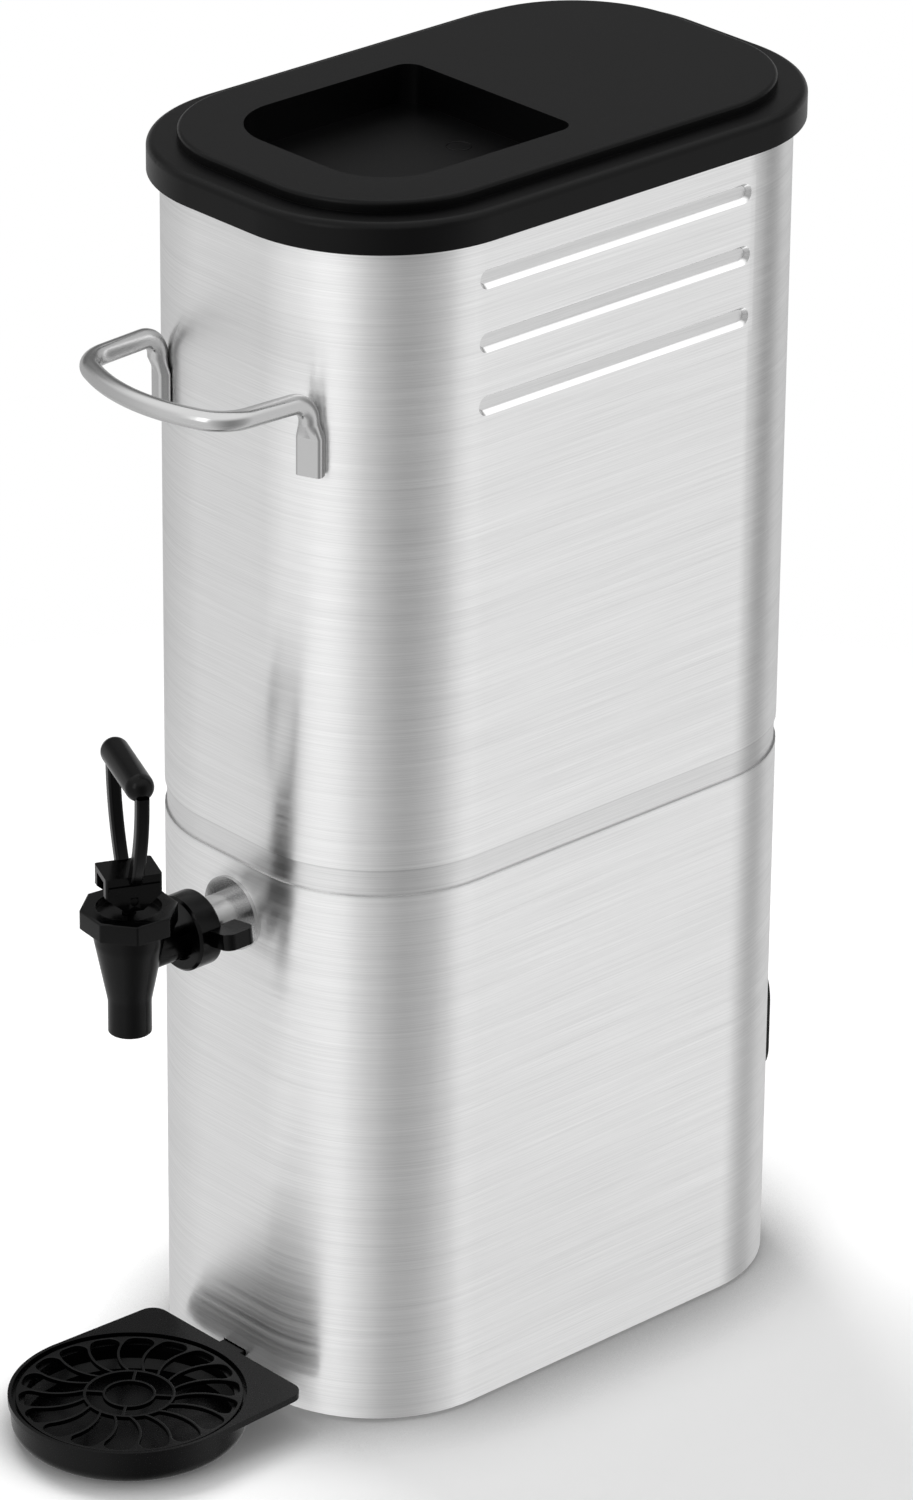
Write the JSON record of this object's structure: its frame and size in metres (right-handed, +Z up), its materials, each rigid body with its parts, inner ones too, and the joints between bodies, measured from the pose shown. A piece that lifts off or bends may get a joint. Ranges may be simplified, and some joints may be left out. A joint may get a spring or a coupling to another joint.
{
  "type": "iced tea dispenser",
  "caption": "Narrow countertop iced tea dispenser: brushed steel tank with lift-off lid, spring tap, wire front handle, rear hand grip and pull-out drip tray.",
  "frame": {"origin": "middle of the whole footprint at table level", "axes": "+Z up, the tap and drip tray face -Y, the back grip faces +Y"},
  "size_m": [0.161, 0.354, 0.5045],
  "materials": {
    "brushed_steel": "fine horizontal grain",
    "polished_steel": "polished stainless wire and fittings",
    "black_plastic": "fine moulded texture, matte",
    "black_gloss": "satin to gloss moulded plastic",
    "silicone": "soft food-grade silicone",
    "rubber": "matte rubber"
  },
  "bodies": {
    "dispenser": {"tank_body": "brushed_steel", "tank_floor": "brushed_steel", "base_cover": "brushed_steel", "front_handle": "polished_steel", "rear_grip": "black_plastic", "shank": "polished_steel", "shank_seal": "silicone", "shank_nut": "polished_steel", "tail_seal": "silicone", "tap_body": "black_gloss", "bonnet_nut": "black_gloss", "seat_cup": "silicone", "valve_spring": "polished_steel", "foot_1": "rubber", "foot_2": "rubber", "foot_3": "rubber", "foot_4": "rubber"},
    "lid": {"lid": "black_plastic"},
    "valve": {"valve_stem": "black_gloss", "handle_pin": "black_gloss"},
    "tap_handle": {"tap_handle": "black_gloss"},
    "wing_nut": {"wing_nut": "black_gloss"},
    "drip_tray": {"drip_tray": "black_gloss"},
    "drip_grille": {"drip_grille": "black_gloss"}
  },
  "joints": [
    {"name": "lid_lift", "type": "slide", "parent": "dispenser", "child": "lid", "axis": [0, 0, 1], "range_m": [0, 0.15]},
    {"name": "stem_lift", "type": "slide", "parent": "dispenser", "child": "valve", "axis": [0, 0, 1], "range_m": [0, 0.0045], "deforming": ["valve_spring", "seat_cup"]},
    {"name": "handle_tilt", "type": "hinge", "parent": "valve", "child": "tap_handle", "pos_m": [0, -0.12745, 0.23], "axis": [0.9135, -0.4067, 0], "range_deg": [0, 35], "stiffness_Nm_per_rad": 0.2, "springref_deg": -8.59},
    {"name": "wing_nut_turn", "type": "hinge", "parent": "dispenser", "child": "wing_nut", "pos_m": [0, -0.09795, 0.205], "axis": [0, 1, 0], "range_deg": [0, 180]},
    {"name": "tray_pull", "type": "slide", "parent": "dispenser", "child": "drip_tray", "axis": [0, -1, 0], "range_m": [0, 0.08]},
    {"name": "grille_lift", "type": "slide", "parent": "drip_tray", "child": "drip_grille", "axis": [0, 0, 1], "range_m": [0, 0.05]}
  ],
  "couplings": [
    {"joint": "stem_lift", "follows": "handle_tilt", "m_per_rad": 0.0065}
  ]
}
